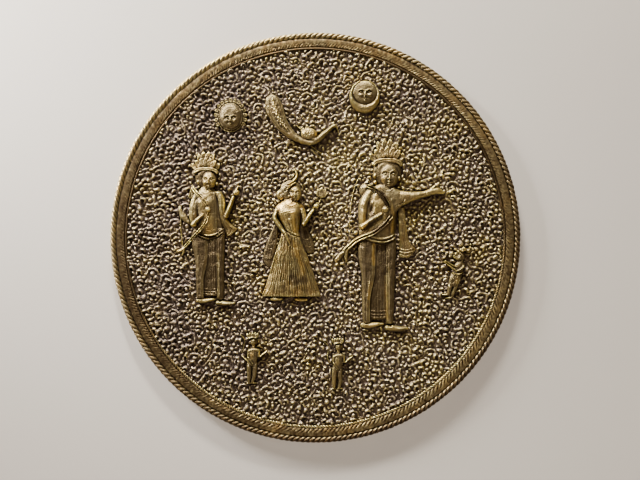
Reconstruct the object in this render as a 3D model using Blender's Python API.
"""Round brass wall charger with a rope edge, a raised border and figures in high relief.

Metres, +Z up. The front faces -Y. The back floor lies in the plane y = 0 with its centre at the
origin, and the lip around it touches the wall.
"""

from math import cos, hypot, pi, radians, sin

import bmesh
import bpy

MM = 0.001

# Plate, in millimetres.
RADIUS = 180.0
SEGMENTS = 72
FIELD_THICKNESS = 2.5
LIP_DEPTH = 3.5
LIP_OUTER = 176.0
LIP_INNER = 166.5
LIP_DRAFT = 2.5
ROPE_RADIUS = 2.7
ROPE_CENTRE_Y = -1.9
ROPE_FACETS = 5
ROPE_TURN = 48.0
BAND_OUTER = 174.2
BAND_INNER = 165.2
BAND_RISE = 2.9
BAND_BEVEL = 0.8
BAND_DRAFT = 0.2
GROOVE_RISE = 0.9

# Every relief shape starts this far inside the plate, and each a little deeper than the last.
SEAT_DEPTH = 0.9
SEAT_STEP = 0.004
# Power of the sine that gives a bar's rounded section, and how far a dome's end rows stop short.
SECTION_POWER = 0.6
DOME_END = 14.0

FACE_RISE = 8.2
NOSE_RISE = 1.0

# Heights of the standing figures, crown to sole, and where each one's axis meets the ground.
LEFT_ARCHER = {"x": -91.2, "z": -60.6, "height": 135.5, "sway": -2.1}
RIGHT_ARCHER = {"x": 55.5, "z": -83.4, "height": 167.0, "sway": 3.3}
LADY = {"x": -22.5, "z": -56.6, "height": 116.4}

shapes = []


def clear_scene():
    for old in list(bpy.data.objects):
        bpy.data.objects.remove(old, do_unlink=True)


def brass():
    material = bpy.data.materials.new("brass")
    material.use_nodes = True
    shader = material.node_tree.nodes["Principled BSDF"]
    shader.inputs["Base Color"].default_value = (0.30, 0.20, 0.075, 1.0)
    shader.inputs["Metallic"].default_value = 1.0
    shader.inputs["Roughness"].default_value = 0.42
    return material


def object_from(name, verts, faces):
    mesh = bpy.data.meshes.new(name)
    mesh.from_pydata([(x * MM, y * MM, z * MM) for x, y, z in verts], [], faces)
    bm = bmesh.new()
    bm.from_mesh(mesh)
    bmesh.ops.recalc_face_normals(bm, faces=bm.faces)
    bm.to_mesh(mesh)
    bm.free()
    body = bpy.data.objects.new(name, mesh)
    bpy.context.collection.objects.link(body)
    return body


# ---------------------------------------------------------------- plate


def plate_profile():
    """(radius, y) from the back floor's edge round the lip and rope to the field's edge."""
    field_y = -FIELD_THICKNESS
    band_y = field_y - BAND_RISE
    profile = [
        (LIP_INNER - LIP_DRAFT, 0.0),
        (LIP_INNER, LIP_DEPTH),
        (LIP_OUTER, LIP_DEPTH),
    ]
    rope_centre = RADIUS - ROPE_RADIUS
    for step in range(ROPE_FACETS):
        angle = radians(ROPE_TURN * (1 - step))
        profile.append(
            (rope_centre + ROPE_RADIUS * cos(angle), ROPE_CENTRE_Y + ROPE_RADIUS * sin(angle))
        )
    profile += [
        (BAND_OUTER + BAND_DRAFT, field_y - GROOVE_RISE),
        (BAND_OUTER, band_y + BAND_BEVEL),
        (BAND_OUTER - BAND_BEVEL, band_y),
        (BAND_INNER + BAND_BEVEL, band_y),
        (BAND_INNER + BAND_DRAFT, band_y + BAND_BEVEL),
        (BAND_INNER, field_y),
    ]
    return profile


def plate():
    profile = plate_profile()
    verts, faces = [], []
    for k in range(SEGMENTS):
        angle = 2 * pi * k / SEGMENTS
        verts += [(r * cos(angle), y, r * sin(angle)) for r, y in profile]
    n = len(profile)
    for k in range(SEGMENTS):
        a, b = k * n, (k + 1) % SEGMENTS * n
        faces += [(a + i, a + i + 1, b + i + 1, b + i) for i in range(n - 1)]
    faces.append([k * n for k in range(SEGMENTS)])
    faces.append([k * n + n - 1 for k in range(SEGMENTS)])
    return object_from("charger", verts, faces)


# ---------------------------------------------------------------- relief shapes


def strip(stations, sides=4, flutes=0, flute_depth=0.0):
    """A domed bar along a path. Each station is (x, z, half width, height above the field)."""
    seat = -FIELD_THICKNESS + SEAT_DEPTH + SEAT_STEP * len(shapes)
    if flutes:
        sides = 2 * flutes
    verts, faces = [], []
    last = len(stations) - 1
    for i, (x, z, half, height) in enumerate(stations):
        before, after = stations[max(i - 1, 0)], stations[min(i + 1, last)]
        along = (after[0] - before[0], after[1] - before[1])
        length = hypot(*along)
        across = (along[1] / length, -along[0] / length)
        ring = [(-1.0, seat)]
        for k in range(1, sides):
            angle = pi * k / sides
            rise = height * sin(angle) ** SECTION_POWER
            if flutes and k % 2:
                rise *= 1.0 - flute_depth
            ring.append((-cos(angle), -FIELD_THICKNESS - rise))
        ring.append((1.0, seat))
        verts += [(x + across[0] * s * half, y, z + across[1] * s * half) for s, y in ring]
    n = sides + 1
    for i in range(last):
        a, b = i * n, (i + 1) * n
        faces += [(a + k, a + (k + 1) % n, b + (k + 1) % n, b + k) for k in range(n)]
    faces.append(list(range(n)))
    faces.append(list(range(last * n, last * n + n)))
    shapes.append(object_from("shape", verts, faces))


def dome(x, z, half_x, half_z, height, rings=5, sides=6):
    """Half of an ellipsoid, as a strip whose width follows a circle."""
    stations = []
    for k in range(rings + 1):
        angle = radians(DOME_END + (180.0 - 2 * DOME_END) * k / rings)
        rise = height * sin(angle) ** SECTION_POWER
        stations.append((x, z + half_z * cos(angle), half_x * sin(angle), rise))
    strip(stations, sides)


def band(x, z, half_x, half_z, start, end, half_width, height, spans=8):
    """A bar along part of an ellipse, between two angles in degrees from +X."""
    stations = []
    for k in range(spans + 1):
        angle = radians(start + (end - start) * k / spans)
        stations.append((x + half_x * cos(angle), z + half_z * sin(angle), half_width, height))
    strip(stations, sides=3)


def petal(x, z, direction, length, half_width, height):
    """A pointed leaf that starts at (x, z)."""
    step = (cos(radians(direction)) * length, sin(radians(direction)) * length)
    shares = ((0.0, 0.7, 1.0), (0.45, 1.0, 0.9), (1.0, 0.12, 0.5))
    strip(
        [(x + step[0] * t, z + step[1] * t, half_width * w, height * h) for t, w, h in shares],
        sides=2,
    )


def at(figure, stations):
    """Stations in hundredths of a figure's height, from where its axis meets the ground, as mm."""
    unit = figure["height"] / 100.0
    return [(figure["x"] + x * unit, figure["z"] + z * unit, w * unit, h) for x, z, w, h in stations]


def between(rows, height):
    """Stations on the middle line between left and right edges, from rows of (z, left, right)."""
    return [((left + right) / 2, z, (right - left) / 2, height) for z, left, right in rows]


# ---------------------------------------------------------------- figures


def head(figure, x, z, hair, face):
    """Hair as a wide dome, the face as a higher one with a plain nose, and a round ear ornament."""
    unit = figure["height"] / 100.0
    cx, cz = figure["x"] + x * unit, figure["z"] + z * unit
    dome(cx, cz, hair[0] * unit, hair[1] * unit, 5.0, rings=6)
    face_x, face_z = cx + face[0] * unit, cz + face[1] * unit
    half_x, half_z = face[2] * unit, face[3] * unit
    dome(face_x, face_z, half_x, half_z, FACE_RISE, rings=6)
    nose_half = half_x * 0.2
    nose = [
        (face_x, face_z + half_z * 0.2, nose_half * 0.6, FACE_RISE),
        (face_x, face_z - half_z * 0.3, nose_half, FACE_RISE + NOSE_RISE),
        (face_x, face_z - half_z * 0.38, nose_half * 0.7, FACE_RISE - NOSE_RISE / 2),
    ]
    strip(nose, sides=3)
    ear_x, ear_z = face_x - half_x * 1.35, face_z - half_z * 0.25
    dome(ear_x, ear_z, half_x * 0.25, half_z * 0.3, 6.0, rings=3, sides=3)


def crown(figure, x, z):
    """A curved headband with a low and a tall row of pointed petals, and a leaf at each end."""
    unit = figure["height"] / 100.0
    cx, cz = figure["x"] + x * unit, figure["z"] + z * unit
    half_x, half_z = 7.6 * unit, 3.0 * unit
    for count, length, rise in ((5, 9.6, 4.0), (4, 5.8, 5.2)):
        for k in range(count):
            share = (k + 0.5) / count
            angle = 150.0 - 120.0 * share
            px = cx + half_x * cos(radians(angle))
            pz = cz + half_z * sin(radians(angle))
            petal(px, pz, 118.0 - 56.0 * share, length * unit, 1.9 * unit, rise)
    petal(cx - half_x, cz + 0.2 * half_z, 140.0, 5.6 * unit, 1.6 * unit, 3.6)
    petal(cx + half_x, cz + 0.2 * half_z, 64.0, 5.6 * unit, 1.4 * unit, 3.6)
    band(cx, cz, half_x, half_z, 8.0, 172.0, 1.0 * unit, 6.8)


def archer_body(figure):
    """Feet, wrapped skirt with a lower panel down its middle, torso and the mantle behind it."""
    sway = figure["sway"]
    strip(at(figure, [(-9.2, 3.6, 1.9, 4.0), (-4.0, 3.5, 2.1, 5.4), (2.2, 3.9, 1.2, 3.6)]), sides=3)
    strip(at(figure, [(3.6, 2.2, 1.9, 4.0), (9.0, 2.0, 2.1, 5.4), (15.0, 2.6, 1.1, 3.6)]), sides=3)
    left_leg = [
        (50.0, -9.6, -0.8),
        (36.0, -10.0, -1.6),
        (29.0, -9.0, -1.6),
        (19.0, -9.1, -4.0),
        (5.0, -8.4, -4.8),
    ]
    right_leg = [(51.0, 2.6, 8.6), (36.0, 2.3, 8.4), (24.0, 3.2, 7.7), (5.0, 3.8, 6.8)]
    panel = [
        (50.0, -2.6, 4.6),
        (36.0, -2.2, 3.0),
        (29.0, -2.0, 3.0),
        (19.0, -4.6, 3.8),
        (8.0, -5.2, 4.2),
    ]
    strip(at(figure, between(left_leg, 6.2)))
    strip(at(figure, between(right_leg, 6.0)))
    strip(at(figure, between(panel, 3.6)), sides=3)
    mantle = [
        (47.0, -8.8 + sway / 3, 7.8 + sway / 3),
        (56.0, -11.2 + sway / 2, 8.6 + sway / 2),
        (66.0, -10.8 + sway, 9.2 + sway),
        (74.0, -8.8 + sway, 8.4 + sway),
    ]
    torso = [
        (47.0, -8.0 + sway / 3, 7.4 + sway / 3),
        (55.0, -7.4 + sway / 2, 6.6 + sway / 2),
        (66.0, -8.6 + sway, 7.8 + sway),
        (73.0, -8.4 + sway, 7.8 + sway),
        (76.5, -3.6 + sway, 3.6 + sway),
    ]
    strip(at(figure, between(mantle, 4.8)), sides=3)
    strip(at(figure, between(torso, 7.4)), sides=6)
    belt = [(-8.4, 48.2, 1.0, 7.8), (-3.0, 46.6, 1.0, 8.6), (3.0, 47.2, 1.0, 8.4), (8.0, 50.2, 1.0, 7.0)]
    strip(at(figure, [(x + sway / 3, z, w, h) for x, z, w, h in belt]), sides=3)


def left_archer():
    figure = LEFT_ARCHER
    archer_body(figure)
    head(figure, -2.8, 82.2, (7.4, 8.2), (1.8, -1.6, 3.9, 5.0))
    crown(figure, -2.9, 87.6)
    strip(at(figure, [(-10.4, 72.6, 2.2, 6.0), (-12.6, 62.0, 2.7, 7.0), (-12.0, 54.0, 2.4, 7.4)]))
    strip(at(figure, [(-12.0, 55.0, 2.0, 7.6), (-5.5, 59.2, 1.7, 8.8), (-1.0, 63.4, 1.9, 9.6)]))
    strip(at(figure, [(8.6, 71.4, 2.4, 5.6), (10.6, 59.4, 2.2, 6.4)]))
    forearm = [
        (10.6, 58.6, 1.9, 6.4),
        (14.2, 70.5, 1.5, 6.6),
        (16.7, 74.8, 1.8, 6.0),
        (18.4, 77.4, 0.7, 4.0),
    ]
    strip(at(figure, forearm))
    strip(at(figure, [(-10.4, 72.4, 1.7, 8.2), (-2.4, 64.6, 1.6, 9.4)]), sides=3)
    shawl = [(7.0, 72.0, 2.4, 8.6), (7.2, 60.0, 2.2, 7.8), (9.8, 54.0, 2.4, 6.0), (14.2, 48.2, 3.8, 3.6)]
    strip(at(figure, shawl))
    bow = [(-1.9, 55.4, 1.2, 9.2), (-8.5, 47.6, 1.1, 8.2), (-13.4, 43.2, 1.1, 5.6), (-18.6, 38.0, 1.6, 3.4)]
    strip(at(figure, bow), sides=3)
    limb = [(-19.2, 66.2, 0.6, 2.0), (-19.2, 60.6, 2.6, 3.4), (-15.6, 53.6, 1.6, 3.0)]
    strip(at(figure, limb), sides=3)
    petal(*at(figure, [(-12.0, 72.4, 0.0, 0.0)])[0][:2], 112.0, 7.0, 2.4, 3.6)


def right_archer():
    figure = RIGHT_ARCHER
    archer_body(figure)
    head(figure, 3.7, 83.4, (7.4, 8.8), (1.7, -1.2, 4.4, 5.6))
    crown(figure, 4.2, 89.6)
    strip(at(figure, [(-5.0, 74.0, 2.6, 6.6), (-8.2, 64.0, 2.5, 7.6), (-8.8, 55.6, 2.2, 7.8)]))
    strip(at(figure, [(-8.8, 56.4, 2.2, 8.0), (0.4, 62.0, 1.8, 9.8), (4.6, 65.0, 1.9, 10.4)]))
    reach = [
        (8.4, 72.4, 3.9, 8.4),
        (14.4, 71.2, 3.3, 8.0),
        (22.9, 71.9, 1.7, 6.8),
        (28.7, 73.4, 2.0, 6.4),
        (33.6, 74.4, 1.3, 4.6),
    ]
    strip(at(figure, reach))
    petal(*at(figure, [(24.8, 73.6, 0.0, 0.0)])[0][:2], 36.0, 8.4, 1.5, 6.2)
    strap = [(-4.4, 75.6, 1.7, 8.6), (1.3, 72.4, 1.7, 9.2), (4.4, 69.2, 1.6, 9.6), (5.5, 66.0, 1.4, 9.6)]
    strip(at(figure, strap), sides=3)
    bow = [
        (4.0, 60.6, 1.3, 9.6),
        (-1.1, 55.0, 1.4, 9.2),
        (-7.2, 51.3, 1.4, 8.0),
        (-16.1, 44.9, 1.8, 4.8),
        (-20.6, 40.9, 2.0, 3.2),
    ]
    strip(at(figure, bow), sides=3)
    cloth = [(12.2, 68.0, 1.6, 4.4), (12.4, 56.0, 2.0, 4.2), (13.9, 47.0, 3.1, 4.2), (14.5, 40.0, 4.0, 3.4)]
    strip(at(figure, cloth), sides=3)
    dome(*at(figure, [(-7.6, 74.8, 0.0, 0.0)])[0][:2], 6.4, 8.4, 3.8, rings=4)
    bow_tip = [
        (-9.5, 82.4, 0.5, 1.8),
        (-12.4, 75.0, 0.5, 2.2),
        (-14.0, 67.0, 0.5, 2.2),
        (-14.9, 58.0, 0.5, 1.8),
    ]
    strip(at(figure, bow_tip), sides=3)


def lady():
    figure = LADY
    strip(at(figure, [(-14.2, 2.2, 1.8, 3.0), (-6.4, 2.0, 1.8, 3.0)]), sides=3)
    strip(at(figure, [(4.2, 1.8, 2.0, 3.0), (13.6, 1.8, 2.0, 3.0)]), sides=3)
    skirt = [
        (51.0, -7.6, 7.8),
        (35.0, -12.2, 13.0),
        (24.0, -14.4, 17.4),
        (12.0, -18.4, 21.0),
        (4.0, -21.8, 24.0),
    ]
    strip(at(figure, between(skirt, 6.4)), flutes=6, flute_depth=0.16)
    bodice = [
        (49.0, -1.4, 7.4),
        (57.6, -5.3, 6.6),
        (64.0, -10.0, 8.4),
        (72.0, -9.6, 10.0),
        (76.8, -3.4, 4.6),
    ]
    strip(at(figure, between(bodice, 7.6)), sides=6)
    head(figure, 1.4, 83.6, (7.0, 8.2), (2.9, -1.2, 4.3, 6.0))
    dome(*at(figure, [(-5.8, 80.4, 0.0, 0.0)])[0][:2], 3.6, 4.2, 4.4, rings=4)
    strip(at(figure, [(4.0, 90.6, 2.2, 4.0), (6.2, 96.0, 1.5, 3.4), (4.2, 100.0, 0.5, 2.2)]), sides=3)
    strip(at(figure, [(-9.0, 70.6, 2.2, 6.4), (-10.2, 63.6, 1.6, 7.4)]), sides=3)
    strip(at(figure, [(-10.4, 64.6, 1.5, 7.6), (-5.6, 57.2, 1.5, 8.2), (-1.4, 48.0, 1.6, 8.6)]), sides=3)
    strip(at(figure, [(10.4, 70.0, 2.1, 5.6), (11.7, 58.8, 2.0, 6.0)]), sides=3)
    forearm = [(11.7, 58.0, 2.0, 6.2), (17.9, 69.6, 1.6, 6.2), (21.4, 73.6, 1.9, 5.6)]
    strip(at(figure, forearm), sides=3)
    strip(at(figure, [(21.8, 72.4, 0.7, 2.6), (23.7, 80.0, 0.7, 2.6)]), sides=3)
    for direction in (128.0, 90.0, 52.0):
        petal(*at(figure, [(23.9, 79.4, 0.0, 0.0)])[0][:2], direction, 8.6, 2.4, 3.4)
    left_scarf = [
        (-11.1, 58.0, 1.2, 3.0),
        (-14.0, 42.0, 1.8, 3.0),
        (-17.0, 35.0, 2.4, 2.6),
        (-14.6, 26.0, 1.2, 2.2),
    ]
    right_scarf = [
        (8.6, 66.0, 1.6, 4.4),
        (10.0, 54.0, 2.2, 3.6),
        (14.2, 44.0, 3.0, 3.0),
        (14.6, 36.8, 3.4, 2.4),
    ]
    strip(at(figure, left_scarf), sides=3)
    strip(at(figure, right_scarf), sides=3)


def sun():
    x, z, half_x, half_z = -74.1, 105.7, 11.3, 12.5
    dome(x, z, half_x, half_z, 4.2, rings=6, sides=8)
    dome(x + 0.4, z - 2.4, 7.0, 8.2, 7.0, rings=5)
    band(x, z, half_x - 0.9, half_z - 0.9, 0.0, 350.0, 0.9, 3.9, spans=14)
    inset = 0.94
    for k in range(11):
        angle = -35.0 + 25.0 * k
        px = x + half_x * inset * cos(radians(angle))
        pz = z + half_z * inset * sin(radians(angle))
        petal(px, pz, angle, 3.4, 1.5, 1.9)


def moon():
    x, z, half_x, half_z = 43.0, 123.2, 13.2, 14.6
    dome(x, z, half_x - 0.6, half_z - 0.6, 4.0, rings=6, sides=6)
    crescent = []
    for k in range(15):
        angle = radians(140.0 + 260.0 * k / 14)
        half = 0.9 + 3.9 * ((1.0 - sin(angle)) / 2) ** 1.3
        crescent.append((x + (half_x - half) * cos(angle), z + (half_z - half) * sin(angle), half, 6.2))
    strip(crescent)
    dome(x + 0.4, z + 4.6, 9.2, 9.0, 6.8, rings=6, sides=8)


def bird():
    """A peacock with its long tail raised, its wing half spread and its neck stretched."""
    tail = [
        (-38.0, 127.6, 2.6, 3.0),
        (-37.6, 123.6, 6.2, 4.6),
        (-36.4, 117.9, 7.9, 5.4),
        (-34.9, 111.3, 7.3, 5.6),
        (-30.5, 101.2, 5.4, 5.4),
        (-24.3, 92.0, 3.7, 5.2),
        (-17.0, 86.4, 2.6, 5.2),
        (-9.0, 83.2, 2.4, 5.8),
        (-2.1, 82.3, 2.9, 6.2),
        (2.7, 85.6, 2.6, 6.2),
        (7.4, 90.7, 2.1, 5.2),
        (12.5, 94.8, 1.7, 4.6),
        (16.0, 98.0, 0.8, 2.8),
    ]
    strip(tail, sides=6)
    strip([(-37.0, 117.6, 1.6, 5.6), (-35.2, 111.6, 3.6, 6.6), (-26.6, 97.0, 1.0, 6.0)], sides=3)
    dome(-4.2, 90.0, 5.2, 5.2, 7.0)
    for direction, length in ((148.0, 11.0), (118.0, 6.4), (92.0, 6.0)):
        petal(-6.4, 92.4, direction, length, 1.1, 4.2)
    strip([(-3.6, 80.0, 0.9, 2.6), (3.8, 74.6, 0.8, 2.2)], sides=3)
    strip([(-2.8, 77.0, 0.8, 2.4), (1.8, 72.2, 0.8, 2.0)], sides=3)


def monkey(x, z, height, lean, arm_turns):
    """A small crowned figure. x, z is where its axis meets the ground, lean its tilt in degrees."""
    unit = height / 100.0
    turn = radians(lean)

    def place(stations):
        placed = []
        for px, pz, half, rise in stations:
            along = (px * cos(turn) + pz * sin(turn), pz * cos(turn) - px * sin(turn))
            placed.append((x + along[0] * unit, z + along[1] * unit, half * unit, rise))
        return placed

    strip(place([(-4.6, 42.0, 5.4, 3.4), (-7.6, 22.0, 4.0, 3.2), (-8.8, 3.0, 3.0, 2.8)]), sides=3)
    strip(place([(5.0, 42.0, 5.4, 3.4), (3.4, 22.0, 4.0, 3.2), (1.6, 5.0, 3.0, 2.8)]), sides=3)
    strip(place([(-12.0, 2.4, 2.6, 2.6), (-1.0, 2.0, 2.4, 2.4)]), sides=3)
    strip(place([(-1.4, 5.0, 2.4, 2.6), (10.0, 4.4, 2.2, 2.4)]), sides=3)
    torso = [(0.0, 38.0, 9.6, 3.6), (-0.6, 52.0, 9.0, 4.0), (0.0, 66.0, 11.0, 4.2), (0.0, 73.0, 6.0, 3.6)]
    strip(place(torso), sides=5)
    dome(*place([(1.4, 81.0, 0.0, 0.0)])[0][:2], 7.4 * unit, 9.4 * unit, 5.0, rings=4, sides=5)
    for side in (-1, 0, 1):
        start = place([(1.0 + 3.6 * side, 88.0, 0.0, 0.0)])[0][:2]
        petal(*start, 90.0 - lean - 24.0 * side, 11.0 * unit, 2.6 * unit, 3.0)
    for side, (elbow, hand) in zip((-1, 1), arm_turns):
        shoulder = (10.0 * side, 67.0)
        path = [(*shoulder, 3.4, 4.2), (*elbow, 3.0, 4.4), (*hand, 2.4, 4.4)]
        strip(place(path), sides=3)


def monkeys():
    resting = (((-15.0, 53.0), (-3.0, 43.0)), ((15.0, 52.0), (28.0, 65.0)))
    monkey(-54.0, -128.6, 46.2, 0.0, resting)
    monkey(18.7, -133.4, 46.2, 0.0, resting)
    folded = (((-15.0, 52.0), (-32.0, 70.0)), ((12.0, 54.0), (-14.0, 50.0)))
    monkey(118.2, -52.6, 48.0, 24.0, folded)


# ---------------------------------------------------------------- assembly


def unite(body, parts):
    """Joins the relief shapes to the plate as one closed solid."""
    guide = bpy.data.collections.new("relief")
    bpy.context.scene.collection.children.link(guide)
    for shape in parts:
        bpy.context.collection.objects.unlink(shape)
        guide.objects.link(shape)
    union = body.modifiers.new("relief", "BOOLEAN")
    union.operation = "UNION"
    union.operand_type = "COLLECTION"
    union.collection = guide
    union.solver = "EXACT"
    union.use_self = True
    evaluated = body.evaluated_get(bpy.context.evaluated_depsgraph_get())
    joined = bpy.data.meshes.new_from_object(evaluated)
    body.modifiers.clear()
    body.data = joined
    for shape in parts:
        bpy.data.objects.remove(shape, do_unlink=True)
    bpy.data.collections.remove(guide)


def main():
    clear_scene()
    charger = plate()
    left_archer()
    right_archer()
    lady()
    sun()
    moon()
    bird()
    monkeys()
    unite(charger, shapes)
    charger.data.materials.clear()
    charger.data.materials.append(brass())


main()
